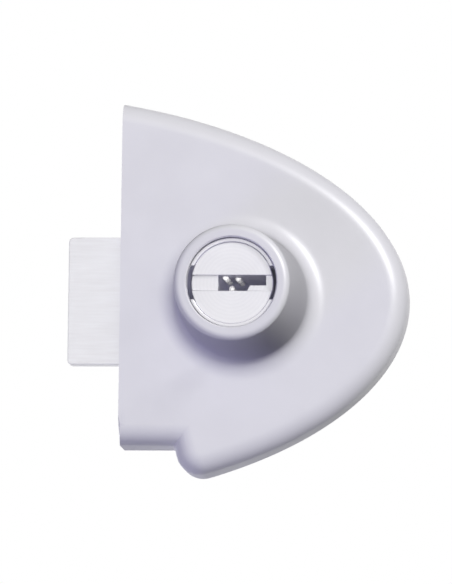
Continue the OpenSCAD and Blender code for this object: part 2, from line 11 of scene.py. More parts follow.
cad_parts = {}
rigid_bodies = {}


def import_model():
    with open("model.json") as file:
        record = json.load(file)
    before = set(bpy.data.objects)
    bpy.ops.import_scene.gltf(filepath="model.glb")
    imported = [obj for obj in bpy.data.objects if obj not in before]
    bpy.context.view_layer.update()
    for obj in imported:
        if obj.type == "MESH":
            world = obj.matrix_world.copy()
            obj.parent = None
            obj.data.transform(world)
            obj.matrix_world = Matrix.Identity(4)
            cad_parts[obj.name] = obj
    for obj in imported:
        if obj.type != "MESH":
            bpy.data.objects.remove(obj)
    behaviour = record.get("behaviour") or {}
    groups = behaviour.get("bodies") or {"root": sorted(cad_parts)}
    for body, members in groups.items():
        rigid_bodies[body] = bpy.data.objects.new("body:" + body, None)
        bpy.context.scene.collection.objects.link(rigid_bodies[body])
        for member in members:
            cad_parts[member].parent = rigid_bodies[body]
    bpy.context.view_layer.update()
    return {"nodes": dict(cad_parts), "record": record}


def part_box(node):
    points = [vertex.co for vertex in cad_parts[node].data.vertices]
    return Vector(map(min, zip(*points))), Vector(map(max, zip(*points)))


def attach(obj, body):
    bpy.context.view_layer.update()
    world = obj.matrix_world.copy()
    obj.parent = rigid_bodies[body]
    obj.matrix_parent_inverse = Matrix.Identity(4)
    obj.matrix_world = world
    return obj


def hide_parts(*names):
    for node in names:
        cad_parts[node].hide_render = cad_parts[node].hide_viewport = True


bl_info = {
    "name": "Glass Cabinet Door Lock",
    "version": (1, 0, 0),
    "blender": (4, 5, 0),
    "location": "View3D > Sidebar > Glass Lock",
    "description": "Builds the cover, cylinder, bolt and clamp of a lock for a glass cabinet door",
    "category": "Object",
}

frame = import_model()
MM = 0.001


# Sizes that follow from the frame, in millimetres. The local frame is x right, y up and z out of
# the glass, and a point of it stands at (x, -z, y) in the row frame.
def box_mm(node):
    """Lowest and highest corner of a CAD node in the local frame, in millimetres."""
    low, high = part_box(node)
    return (
        np.array([low[0], low[2], -high[1]]) / MM,
        np.array([high[0], high[2], -low[1]]) / MM,
    )


HOUSING_LOW, HOUSING_HIGH = box_mm("front_housing")
BOLT_LOW, BOLT_HIGH = box_mm("bolt")
REAR_LOW, REAR_HIGH = box_mm("rear_plate")
BUSH_LOW, BUSH_HIGH = box_mm("screw_bushes")
PINS_LOW, PINS_HIGH = box_mm("key_pins")
PLUG_R = box_mm("plug")[1][0]
BACK_PLATE_Z = box_mm("back_plate")[1][2]


def mm(length):
    """A size property's metres as millimetres, rounded, as a property keeps only seven digits."""
    return round(length / MM, 4)


def linear(code):
    """Linear RGBA of an sRGB hex value."""
    srgb = np.array([int(code[i : i + 2], 16) for i in (0, 2, 4)]) / 255
    rgb = np.where(srgb <= 0.04045, srgb / 12.92, ((srgb + 0.055) / 1.055) ** 2.4)
    return tuple(float(c) for c in rgb) + (1.0,)


# ---- what a user may change


class LockSizes(bpy.types.PropertyGroup):
    """Roundings of the pieces, and how finely the cover is worked out."""

    cover_edge: bpy.props.FloatProperty(
        name="Cover edge",
        description="Radius of the rounding between the cover's wall and its face",
        default=3.4 * MM,
        min=2.8 * MM,
        max=3.6 * MM,
        subtype="DISTANCE",
        unit="LENGTH",
        precision=5,
    )
    flare: bpy.props.FloatProperty(
        name="Flare",
        description="Radius of the hollow rounding between the cover's face and the boss",
        default=3.4 * MM,
        min=2.5 * MM,
        max=3.8 * MM,
        subtype="DISTANCE",
        unit="LENGTH",
        precision=5,
    )
    boss_rim: bpy.props.FloatProperty(
        name="Boss rim",
        description="Radius of the rounding round the boss's front",
        default=1.15 * MM,
        min=0.8 * MM,
        max=1.4 * MM,
        subtype="DISTANCE",
        unit="LENGTH",
        precision=5,
    )
    rear_edge: bpy.props.FloatProperty(
        name="Rear plate edge",
        description="Radius of the rounding on the rear plate's outer side",
        default=1.5 * MM,
        min=0.5 * MM,
        max=3.0 * MM,
        subtype="DISTANCE",
        unit="LENGTH",
        precision=5,
    )
    pin_nose: bpy.props.FloatProperty(
        name="Pin nose",
        description="Radius of the key pins' thin noses in the keyway",
        default=0.52 * MM,
        min=0.3 * MM,
        max=0.9 * MM,
        subtype="DISTANCE",
        unit="LENGTH",
        precision=5,
    )
    outline_steps: bpy.props.IntProperty(
        name="Outline steps",
        description="Steps along the cover's curved outline",
        default=240,
        min=60,
        max=400,
    )
    edge_steps: bpy.props.IntProperty(
        name="Edge steps",
        description="Steps across each rounding of the cover",
        default=20,
        min=4,
        max=40,
    )


class LockColours(bpy.types.PropertyGroup):
    """Colours of the finishes that show most, each as the two tones that it wanders between."""

    lacquer_dark: bpy.props.FloatVectorProperty(
        name="Lacquer, darker",
        description="Darker tone of the pearl lacquer on the cover and the rear plate",
        default=linear("D6D5DB"),
        min=0,
        max=1,
        size=4,
        subtype="COLOR",
    )
    lacquer_light: bpy.props.FloatVectorProperty(
        name="Lacquer, lighter",
        description="Lighter tone of the pearl lacquer on the cover and the rear plate",
        default=linear("DBDAE0"),
        min=0,
        max=1,
        size=4,
        subtype="COLOR",
    )
    cylinder_dark: bpy.props.FloatVectorProperty(
        name="Cylinder, darker",
        description="Darker tone of the nickel on the cylinder and its plug",
        default=linear("DDDCE1"),
        min=0,
        max=1,
        size=4,
        subtype="COLOR",
    )
    cylinder_light: bpy.props.FloatVectorProperty(
        name="Cylinder, lighter",
        description="Lighter tone of the nickel on the cylinder and its plug",
        default=linear("E8E7EB"),
        min=0,
        max=1,
        size=4,
        subtype="COLOR",
    )
    bolt_dark: bpy.props.FloatVectorProperty(
        name="Bolt, darker",
        description="Darker tone of the nickel on the bolt",
        default=linear("DEDDE0"),
        min=0,
        max=1,
        size=4,
        subtype="COLOR",
    )
    bolt_light: bpy.props.FloatVectorProperty(
        name="Bolt, lighter",
        description="Lighter tone of the nickel on the bolt",
        default=linear("E5E5E8"),
        min=0,
        max=1,
        size=4,
        subtype="COLOR",
    )
    rubber_dark: bpy.props.FloatVectorProperty(
        name="Rubber, darker",
        description="Darker tone of the two gaskets",
        default=linear("2A2A2C"),
        min=0,
        max=1,
        size=4,
        subtype="COLOR",
    )
    rubber_light: bpy.props.FloatVectorProperty(
        name="Rubber, lighter",
        description="Lighter tone of the two gaskets",
        default=linear("343436"),
        min=0,
        max=1,
        size=4,
        subtype="COLOR",
    )


# ---- shapes in numpy


def unit(v):
    """Rows of v, each divided by its length."""
    return v / np.maximum(np.linalg.norm(v, axis=-1, keepdims=True), 1e-12)


def turn_between(a, b, t):
    """Blend of unit vectors a and b over their angle w: (sin((1-t)w) a + sin(tw) b) / sin w."""
    w = np.arccos(np.clip((a * b).sum(-1, keepdims=True), -1, 1))
    return (np.sin((1 - t) * w) * a + np.sin(t * w) * b) / np.sin(w)


class CoverLine:
    """The cover's outline: an ellipse x = cx + a cos t, y = b sin t, cut off by a flat side at the
    left, with a rounded corner, a leaning step and a shallow notch at its lower left. Sizes in
    millimetres."""

    # Half axes of the ellipse
    a, b = 69.0, 34.3
    # Corner below the notch, lean of the step, height of the notch below the axis, and its length
    corner_r, lean, notch_y, notch_l = 4.0, math.radians(14.5), 24.7, 9.0
    # Halvings in each search for an angle on the ellipse
    halvings = 50

    def __init__(self, nose_x, side_x):
        self.cx, self.side = nose_x - self.a, side_x

    def on_ellipse(self, t):
        """Points at the ellipse's own angles t, and unit normals along (cos t / a, sin t / b)."""
        p = np.stack([self.cx + self.a * np.cos(t), self.b * np.sin(t)], -1)
        return p, unit(np.stack([np.cos(t) / self.a, np.sin(t) / self.b], -1))

    def corner(self):
        """Angle t where a circle of the corner's radius inside the ellipse also touches the step,
        found by halving, with the step's outward normal and its foot in the notch."""
        step_n = np.array([-math.cos(self.lean), -math.sin(self.lean)])
        foot = np.array([self.side + self.notch_l, -self.notch_y])
        low, high = math.radians(-80), math.radians(-40)
        for _ in range(self.halvings):
            t = (low + high) / 2
            p, n = self.on_ellipse(np.array(t))
            if (p - self.corner_r * n - foot) @ step_n + self.corner_r > 0:
                low = t
            else:
                high = t
        return t, step_n, foot

    def runs(self, d, fine):
        """The outline drawn in by d, clockwise from the upper left, as runs of points: the
        ellipse's points moved by -d along their normals, a corner arc of radius corner_r - d, then
        the straight stretches' own crossings. With them come the normals and counts that flat_rows
        needs."""
        low, high = math.radians(20), math.radians(110)
        for _ in range(self.halvings):
            t0 = (low + high) / 2
            p, n = self.on_ellipse(np.array(t0))
            low, high = (t0, high) if p[0] - d * n[0] > self.side + d else (low, t0)
        t1, step_n, foot = self.corner()
        p, n = self.on_ellipse(t0 + (t1 - t0) * np.arange(fine + 1) / fine)
        c = p[-1] - self.corner_r * n[-1]
        a0, a1 = math.atan2(n[-1][1], n[-1][0]), -math.pi + self.lean
        # Steps of the corner
        k = max(6, fine // 16)
        bend = a0 + (a1 - a0) * np.arange(1, k + 1) / k
        bend = np.stack([np.cos(bend), np.sin(bend)], -1)
        low_n = np.array([0, -1.0])
        foot = foot - d * (step_n + low_n) / (1 + step_n @ low_n)
        end = np.array([self.side + d, -self.notch_y + d])
        # Steps of the notch and of the flat side
        m, j = max(2, fine // 24), max(6, fine // 8)
        top = p[0] - d * n[0]
        return [
            p - d * n,
            c + (self.corner_r - d) * bend,
            foot + (end - foot) * (np.arange(m + 1) / m)[:, None],
            end + (top - end) * (np.arange(1, j) / j)[:, None],
        ], (n, bend, step_n, low_n, m, j)

    def ring(self, d, z, fine):
        """The outline drawn in by d, as a ring at height z."""
        p = np.concatenate(self.runs(d, fine)[0])
        return np.column_stack([p, np.full(len(p), z)])

    def flat_rows(self, fine):
        """The outline's points, how each moves outwards when an edge is rounded, which of them
        slide in the plane of the flat side, and the slope of the edge that they leave. Down the
        flat side the moves fade from the upper corner's to the lower corner's, so that the rows
        never cross."""
        runs, (n, bend, step_n, low_n, m, j) = self.runs(0.0, fine)
        upper, lower = 1 / n[0][1], -1.0
        f = np.arange(1, j) / j
        moves = np.concatenate(
            [
                [[0, upper]],
                n[1:],
                bend,
                [(step_n + low_n) / (1 + step_n @ low_n)],
                np.tile(low_n, (m, 1)),
                np.column_stack([0 * f, lower + (upper - lower) * f]),
            ]
        )
        points = np.concatenate(runs)
        slides = np.zeros(len(points), bool)
        slides[0], slides[1 - j :] = True, True
        lean = np.zeros(len(points))
        lean[0] = -n[0][0] / n[0][1]
        return points, moves, slides, lean


class CoverForm:
    """The cover's outside as rings of points, all in the local frame. A ball of the edge's radius
    rolls round between wall and face, and another of the flare's radius round between face and
    boss."""

    face_slope, boss_draft = math.radians(5.15), math.radians(3.5)
    boss_h, boss_wall, lip_t = 21.5, 0.9, 2.6
    # Round the plug's head: its step over the barrel, the rim of the cylinder, and the room to turn
    head_step, ring_w, turn_gap = 0.4, 0.6, 0.05
    # Outside the barrel: driver pin, spring, half the pins' width, and the pin sleeve
    driver_l, spring_l, pin_edge, sleeve_t = 0.95, 0.72, 2.35, 0.3

    def __init__(self, sizes):
        fine = sizes.outline_steps
        self.edge_r, self.flare_r = mm(sizes.cover_edge), mm(sizes.flare)
        self.rim_r = mm(sizes.boss_rim)
        self.back_z = HOUSING_LOW[2]
        self.rim_z = HOUSING_HIGH[2]
        self.face_z = self.rim_z - self.boss_h
        self.fall = math.tan(self.face_slope)
        self.face_n = np.array([math.sin(self.face_slope), 0, math.cos(self.face_slope)])
        self.line = CoverLine(HOUSING_HIGH[0], HOUSING_LOW[0])
        self.fine = fine
        self.points, self.moves, self.slides, self.lean = self.line.flat_rows(fine)
        self.angles = np.unwrap(np.arctan2(self.points[:, 1], self.points[:, 0]))
        self.mouth_r = PLUG_R + self.ring_w + 2 * self.turn_gap
        stack = PLUG_R - self.head_step + 2 * self.turn_gap + self.driver_l + self.spring_l
        self.bore_r = math.hypot(stack, self.pin_edge) + self.sleeve_t + self.turn_gap
        widening = math.tan(self.boss_draft) * (self.boss_h - self.lip_t)
        self.boss_r = self.bore_r + self.boss_wall + widening

    def wall_ring(self, z, inset=0.0):
        """The outline drawn in by inset, at height z."""
        return np.column_stack([self.points - inset * self.moves, np.full(len(self.points), z)])

    def edge_ring(self, t):
        """The rounded edge, from the wall at t = 0 to the face at t = 1: ball centre plus radius
        times a direction that turns from the wall's normal to the face's. Rows of the flat side
        slide back along their edge into the plane of the cut."""
        r = self.edge_r
        m = np.column_stack([self.moves, np.zeros(len(self.moves))])
        still = np.abs(m).sum(1) < 1e-9
        safe = unit(np.where(still[:, None], [[0, 1.0, 0]], m))
        c = self.points - r * self.moves
        lift = r * math.hypot(self.fall, 1)
        centre = np.column_stack([c, self.face_z - self.fall * c[:, 0] - lift])
        n = np.broadcast_to(self.face_n, m.shape)
        w = np.arccos(np.clip((safe * n).sum(1), -1, 1))[:, None]
        start = np.where(still[:, None], 0, m)
        along = (np.sin((1 - t) * w) * start + np.sin(t * w) * n) / np.sin(w)
        p = centre + r * along
        back = (self.points[:, 0] - p[:, 0]) * self.slides
        return p + np.column_stack([back, back * self.lean, -self.fall * back])

    def flare_ring(self, t):
        """The flare, from the face at t = 0 to the boss at t = 1: ball centre less radius times a
        direction that turns from the face's normal to the boss's."""
        lift, k = math.tan(self.boss_draft), math.hypot(self.fall, 1)
        cos, sin = np.cos(self.angles), np.sin(self.angles)
        r = self.boss_r + self.flare_r / math.cos(self.boss_draft) - self.flare_r * k * lift
        r = r / (1 - self.fall * cos * lift)
        height = self.face_z - self.fall * r * cos + self.flare_r * k
        c = np.column_stack([r * cos, r * sin, height])
        cd, sd = math.cos(self.boss_draft), math.sin(self.boss_draft)
        side = np.column_stack([cd * cos, cd * sin, np.full(len(cos), sd)])
        face = np.broadcast_to(self.face_n, side.shape)
        return c - self.flare_r * turn_between(face, side, t)

    def rim_rings(self, count):
        """The boss's rounded front rim: circles over a quarter turn, from its side to its front."""
        r, draft = self.rim_r, self.boss_draft
        side = self.boss_r - math.tan(draft) * (self.boss_h - r + r * math.sin(draft))
        middle = side - r * math.cos(draft)
        low = self.rim_z - r
        turns = np.linspace(draft, math.pi / 2, count)
        return [self.round_ring(middle + r * math.cos(b), low + r * math.sin(b)) for b in turns]

    def under_face(self, ring, thick):
        """A ring moved in height to the face's inner side: its plane, lowered by its thickness."""
        drop = thick / math.cos(self.face_slope)
        return np.column_stack([ring[:, :2], self.face_z - drop - self.fall * ring[:, 0]])

    def round_ring(self, r, z):
        """Circle round the axis, at the outline's own angles."""
        circle = r * np.cos(self.angles), r * np.sin(self.angles)
        return np.column_stack([*circle, np.full(len(self.angles), z)])


def loft(name, rings, closed):
    """Mesh object of quads between rings of equally many points. closed joins the last ring to the
    first, and otherwise a fan round the middle closes each end. Rings run clockwise seen from the
    front."""
    rings = np.array(rings, float)
    m, n = rings.shape[:2]
    points = rings.reshape(-1, 3)
    i, k = np.arange(n), (np.arange(n) + 1) % n
    j = np.arange(m if closed else m - 1)[:, None]
    lower, upper = j * n, (j + 1) % m * n
    quads = np.stack([lower + i, upper + i, upper + k, lower + k], -1).reshape(-1, 4)
    faces = quads.tolist()
    if not closed:
        points = np.vstack([points, rings[0].mean(0), rings[-1].mean(0)])
        last = (m - 1) * n
        faces += np.column_stack([np.full(n, m * n), i, k]).tolist()
        faces += np.column_stack([np.full(n, m * n + 1), last + k, last + i]).tolist()
    return piece(name, points, faces)


def piece(name, points, faces):
    """Object from local points in millimetres: (x, y, z) goes to (x, -z, y), in metres."""
    mesh = bpy.data.meshes.new(name)
    row = np.column_stack([points[:, 0], -points[:, 2], points[:, 1]]) * MM
    mesh.from_pydata(row.tolist(), [], faces)
    mesh.validate()
    mesh.update()
    obj = bpy.data.objects.new(name, mesh)
    bpy.context.scene.collection.objects.link(obj)
    return obj


def shade(obj, degrees=30):
    """Smooth faces, with edges sharper than the angle kept sharp."""
    obj.data.shade_smooth()
    obj.data.set_sharp_from_angle(angle=math.radians(degrees))


def cut(obj, tool):
    """Takes the tool's solid out of obj, and removes the tool."""
    mod = obj.modifiers.new("cut", "BOOLEAN")
    mod.operation, mod.solver, mod.object = "DIFFERENCE", "EXACT", tool
    apply_modifiers(obj)
    bpy.data.objects.remove(tool)


def apply_modifiers(obj):
    """Writes the modifiers' result into the object's own mesh."""
    graph = bpy.context.evaluated_depsgraph_get()
    mesh = bpy.data.meshes.new_from_object(obj.evaluated_get(graph))
    old = obj.data
    obj.modifiers.clear()
    obj.data = mesh
    bpy.data.meshes.remove(old)
    mesh.name = obj.name


def block(name, low, high):
    """Box between two corners of the local frame, faces outward."""
    x, y, z = np.meshgrid([low[0], high[0]], [low[1], high[1]], [low[2], high[2]], indexing="ij")
    points = np.column_stack([x.ravel(), y.ravel(), z.ravel()])
    faces = [(0, 1, 3, 2), (4, 6, 7, 5), (0, 4, 5, 1), (2, 3, 7, 6), (0, 2, 6, 4), (1, 5, 7, 3)]
    return piece(name, points, faces)


# ---- materials


def put(tree, kind, links=None, values=None, **settings):
    """Adds a node with its settings, its inputs' values and links from other nodes' outputs."""
    node = tree.nodes.new(kind)
    for key, setting in settings.items():
        setattr(node, key, setting)
    for key, value in (values or {}).items():
        node.inputs[key].default_value = value
    for key, source in (links or {}).items():
        tree.links.new(source, node.inputs[key])
    return node


def new_material(name):
    """Node material with its principled shader, and the object's own coordinates in metres for its
    patterns. Their scales therefore count lumps per metre: 1000 gives lumps of 1 mm."""
    mat = bpy.data.materials.new(name)
    mat.use_nodes = True
    tree = mat.node_tree
    tree.nodes.clear()
    shader = put(tree, "ShaderNodeBsdfPrincipled")
    put(tree, "ShaderNodeOutputMaterial", {"Surface": shader.outputs[0]})
    return mat, tree, shader, put(tree, "ShaderNodeTexCoord").outputs["Object"]


def noise(tree, at, scale, detail):
    """Cloudy pattern from 0 to 1 at the coordinates."""
    values = {"Scale": scale, "Detail": detail}
    return put(tree, "ShaderNodeTexNoise", {"Vector": at}, values).outputs[0]


def ramp(tree, source, stops):
    """Colour ramp over a value: stops are (place, linear RGBA)."""
    node = put(tree, "ShaderNodeValToRGB", {0: source})
    e = node.color_ramp.elements
    while len(e) < len(stops):
        e.new(0.5)
    for k, (at, colour) in enumerate(stops):
        e[k].position, e[k].color = at, colour
    return node.outputs[0]


def spread(tree, source, low, high, to_low, to_high):
    """Value moved from one range to another, and held inside it."""
    ends = {"From Min": low, "From Max": high, "To Min": to_low, "To Max": to_high}
    return put(tree, "ShaderNodeMapRange", {"Value": source}, ends).outputs[0]


def blend(tree, first, second, share):
    """Mean of two patterns, the second by its share."""
    return put(tree, "ShaderNodeMix", {2: first, 3: second}, {0: share}).outputs[0]


def coloured(tree, shader, pattern, low, dark, high, light):
    """Lets the colour go from dark to light as the pattern goes from low to high."""
    tree.links.new(ramp(tree, pattern, [(low, dark), (high, light)]), shader.inputs["Base Color"])


def roughened(tree, shader, pattern, middle, swing, low=0.3, high=0.7):
    """Lets the roughness swing round its middle as the pattern goes from low to high."""
    rough = spread(tree, pattern, low, high, middle - swing, middle + swing)
    tree.links.new(rough, shader.inputs["Roughness"])


def bumped(tree, shader, pattern, strength, depth_mm):
    """Lets the pattern raise the surface by up to the depth."""
    values = {"Strength": strength, "Distance": depth_mm * MM}
    bump = put(tree, "ShaderNodeBump", {"Height": pattern}, values)
    tree.links.new(bump.outputs[0], shader.inputs["Normal"])


def satin_die_cast(dark, light):
    """Zinc die casting with a pearl lacquer: sprayed, so it has a faint orange peel of about 1 mm,
    grains of 0.2 mm and a soft satin gloss. The lock is new, so its edges aren't worn."""
    mat, tree, shader, at = new_material("satin_pearl_die_cast")
    peel, grain = noise(tree, at, 1000.0, 2.0), noise(tree, at, 4500.0, 1.0)
    cloud = noise(tree, at, 90.0, 3.0)
    coloured(tree, shader, cloud, 0.3, dark, 0.7, light)
    roughened(tree, shader, cloud, 0.375, 0.025)
    bumped(tree, shader, blend(tree, peel, grain, 0.5), 0.1, 0.06)
    shader.inputs["Specular IOR Level"].default_value = 0.75
    return mat


def turned_nickel(name, dark, light, metallic, rough):
    """Nickel plate over turned brass: rings round the axis from the turning tool and a satin gloss.
    The real feed of 0.1 mm is too fine to show, so the rings are drawn 0.6 mm apart."""
    mat, tree, shader, at = new_material(name)
    # A wave of scale 1 has one ring in pi/10 of the coordinates' unit
    scale = math.pi / (10 * 0.6 * MM)
    rings = put(
        tree,
        "ShaderNodeTexWave",
        {"Vector": at},
        {"Scale": scale, "Distortion": 1.5, "Detail": 2.0, "Detail Scale": 3.0},
        wave_type="RINGS",
        rings_direction="Y",
    ).outputs["Fac"]
    tone = blend(tree, noise(tree, at, 160.0, 3.0), rings, 0.15)
    coloured(tree, shader, tone, 0.2, dark, 0.8, light)
    roughened(tree, shader, rings, rough, 0.05, 0, 1)
    bumped(tree, shader, rings, 0.05, 0.02)
    shader.inputs["Metallic"].default_value = metallic
    return mat


def brushed_metal(name, dark, light, metallic, rough, lines):
    """Rolled or drawn metal: fine lines along the direction with the smallest count. Real ones are
    0.05 mm apart and too fine to show, so they are drawn coarser, at the given counts per metre
    along x, y and z."""
    mat, tree, shader, at = new_material(name)
    drawn = put(tree, "ShaderNodeMapping", {"Vector": at}, {"Scale": lines}, vector_type="POINT")
    fine, cloud = noise(tree, drawn.outputs[0], 1.0, 3.0), noise(tree, at, 120.0, 2.0)
    coloured(tree, shader, blend(tree, cloud, fine, 0.5), 0.35, dark, 0.65, light)
    roughened(tree, shader, fine, rough, 0.06)
    bumped(tree, shader, fine, 0.08, 0.02)
    shader.inputs["Metallic"].default_value = metallic
    return mat


def moulded(name, dark, light, rough, grain_mm, bump_mm):
    """Moulded rubber or nylon: a matt skin with a fine spark-eroded grain."""
    mat, tree, shader, at = new_material(name)
    grain, cloud = noise(tree, at, 1000.0 / grain_mm, 2.0), noise(tree, at, 150.0, 2.0)
    coloured(tree, shader, cloud, 0.3, dark, 0.7, light)
    roughened(tree, shader, grain, rough, 0.08)
    bumped(tree, shader, grain, 0.3, bump_mm)
    return mat


MATERIALS = {}


def finish_of(kind):
    """Material of a finish, made once. The record's material slots have the same names."""
    if kind in MATERIALS:
        return MATERIALS[kind]
    tint = bpy.context.scene.lock_colours
    if kind == "die_cast":
        mat = satin_die_cast(tint.lacquer_dark, tint.lacquer_light)
    elif kind == "nickel":
        tones = tint.cylinder_dark, tint.cylinder_light
        mat = turned_nickel("turned_nickel", *tones, metallic=0.7, rough=0.36)
    elif kind == "nickel_bolt":
        tones = tint.bolt_dark, tint.bolt_light
        mat = brushed_metal(
            "satin_nickel_plate", *tones, metallic=0.7, rough=0.36, lines=(200, 2500, 2500)
        )
    elif kind == "steel":
        tones = linear("B4B8BE"), linear("C2C5C9")
        mat = brushed_metal(
            "zinc_plated_steel", *tones, metallic=0.9, rough=0.34, lines=(300, 2500, 2500)
        )
    elif kind == "spring_steel":
        tones = linear("8A8D92"), linear("9A9CA0")
        mat = brushed_metal(
            "spring_steel", *tones, metallic=0.95, rough=0.3, lines=(2500, 2500, 900)
        )
    elif kind == "brass":
        tones = linear("C9A85A"), linear("D6B76C")
        mat = brushed_metal(
            "turned_brass", *tones, metallic=0.95, rough=0.28, lines=(5000, 700, 5000)
        )
    elif kind == "nickel_silver":
        tones = linear("EDECEA"), linear("F5F4F2")
        mat = brushed_metal(
            "nickel_silver", *tones, metallic=0.2, rough=0.3, lines=(3000, 3000, 600)
        )
    elif kind == "rubber":
        tones = tint.rubber_dark, tint.rubber_light
        mat = moulded("clamp_rubber", *tones, rough=0.8, grain_mm=0.4, bump_mm=0.04)
    else:
        tones = linear("E6E4DC"), linear("EFEDE6")
        mat = moulded("natural_nylon", *tones, rough=0.55, grain_mm=0.5, bump_mm=0.02)
    MATERIALS[kind] = mat
    return mat


def dress(obj, kind):
    """Gives obj one finish."""
    obj.data.materials.clear()
    obj.data.materials.append(finish_of(kind))


# ---- the pieces

# Steps of a quarter turn round an edge
QUARTER = 13

# Width of the eased edges of each piece that keeps its CAD shape, in millimetres
EASED = {
    "cylinder_body": 0.15,
    "plug": 0.16,
    "bolt": 0.25,
    "driver_pins": 0.1,
    "pin_sleeve": 0.05,
    "retaining_ring": 0.08,
    "back_plate": 0.2,
    "back_plate_screws": 0.08,
    "bolt_guides": 0.15,
    "front_gasket": 0.15,
    "rear_gasket": 0.15,
    "screw_bushes": 0.2,
    "clamp_screws": 0.12,
    "plug_clip": 0.08,
    "cam": 0.15,
    "drive_pin": 0.1,
    "drive_roller": 0.06,
    "cam_screw": 0.1,
}

# Depth behind the front within which these are eased, in millimetres. Further in, the short edges
# of the pin holes would hold the width back, and the corner behind the plug's head has to stay
# sharp.
FRONT_ONLY = {"cylinder_body": 2.4, "plug": 1.9}


class LOCK_OT_cover(bpy.types.Operator):
    """Builds the die-cast cover with its flared boss"""

    bl_idname = "lock.cover"
    bl_label = "Cover"

    def execute(self, context):
        sizes = context.scene.lock_sizes
        form = CoverForm(sizes)
        wall, face_t, ledge_w, ease = 2.1, 2.2, 1.2, 0.2
        lip_z = form.rim_z - form.lip_t
        steps = np.linspace(0, 1, sizes.edge_steps + 1)

        # Outside, from the back edge over the face to the boss's rim
        outer = [form.wall_ring(form.back_z + ease)]
        outer += [form.edge_ring(t) for t in steps]
        first, last = form.edge_ring(1.0), form.flare_ring(0.0)
        outer += [first + (last - first) * t for t in (0.1, 0.35, 0.65, 0.9)]
        outer += [form.flare_ring(t) for t in steps]
        rim = form.rim_rings(QUARTER)
        foot = form.flare_ring(1.0)
        outer += [foot + (rim[0] - foot) * t for t in (0.1, 0.5, 0.9)] + rim

        # Inside, from the mouth back to the edge
        inner = form.line.ring(wall, BACK_PLATE_Z, form.fine)
        ledge = form.line.ring(ledge_w, BACK_PLATE_Z, form.fine)
        inside = [
            form.round_ring(form.mouth_r + ease, form.rim_z),
            form.round_ring(form.mouth_r, form.rim_z - ease),
            form.round_ring(form.mouth_r, lip_z),
            form.round_ring(form.bore_r, lip_z),
            form.under_face(form.round_ring(form.bore_r, 0), face_t),
            form.under_face(inner, face_t),
            inner,
            ledge,
            np.column_stack([ledge[:, :2], np.full(len(ledge), form.back_z)]),
        ]
        cover = loft("cover", outer + inside + [form.wall_ring(form.back_z, ease)], True)

        slot_gap, past = 0.15, (2, 1)
        slot = block(
            "bolt_slot",
            (HOUSING_LOW[0] - past[0], BOLT_LOW[1] - slot_gap, BACK_PLATE_Z),
            (HOUSING_LOW[0] + wall + past[1], BOLT_HIGH[1] + slot_gap, BOLT_HIGH[2] + slot_gap),
        )
        cut(cover, slot)
        shade(cover)
        dress(cover, "die_cast")
        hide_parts("front_housing")
        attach(cover, "lock_case")
        return {"FINISHED"}


def body_of(node):
    """The moving body that carries a node."""
    bodies = frame["record"]["behaviour"]["bodies"]
    return next(name for name, nodes in bodies.items() if node in nodes)


def eased(node, slot, width):
    """Copy of a CAD piece whose sharp edges are rounded over the width in millimetres, as after
    deburring."""
    merge, flat, sharp = 0.002 * MM, math.radians(0.4), math.radians(35)
    form = bmesh.new()
    form.from_mesh(frame["nodes"][node].data)
    bmesh.ops.remove_doubles(form, verts=form.verts, dist=merge)
    bmesh.ops.dissolve_limit(form, angle_limit=flat, verts=form.verts, edges=form.edges)
    if node in FRONT_ONLY:
        weight = form.edges.layers.float.new("bevel_weight_edge")
        rear = min(vert.co.y for vert in form.verts) + FRONT_ONLY[node] * MM
        for edge in form.edges:
            near = max(vert.co.y for vert in edge.verts) < rear
            edge[weight] = float(near and edge.calc_face_angle(0) > sharp)
    mesh = bpy.data.meshes.new(node + "_eased")
    form.to_mesh(mesh)
    form.free()
    obj = bpy.data.objects.new(node + "_eased", mesh)
    bpy.context.scene.collection.objects.link(obj)
    mesh.shade_smooth()
    bevel = obj.modifiers.new("edges", "BEVEL")
    bevel.width, bevel.segments, bevel.angle_limit = width * MM, 2, sharp
    bevel.limit_method = "WEIGHT" if node in FRONT_ONLY else "ANGLE"
    # The bolt's round corners have short steps that would hold its width back
    bevel.use_clamp_overlap = node != "bolt"
    obj.modifiers.new("flats", "WEIGHTED_NORMAL").weight = 100
    apply_modifiers(obj)
    dress(obj, slot)
    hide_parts(node)
    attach(obj, body_of(node))
    return obj


def hole_tool(profile, centre, sides=96):
    """Solid for cutting a hole: circles of the radii and heights of the profile, from the rear to
    the front."""
    a = -2 * math.pi * np.arange(sides) / sides
    circle = np.column_stack([np.cos(a), np.sin(a), 0 * a])
    rings = [circle * r + [centre[0], centre[1], z] for r, z in profile]
    return loft("hole", rings, False)


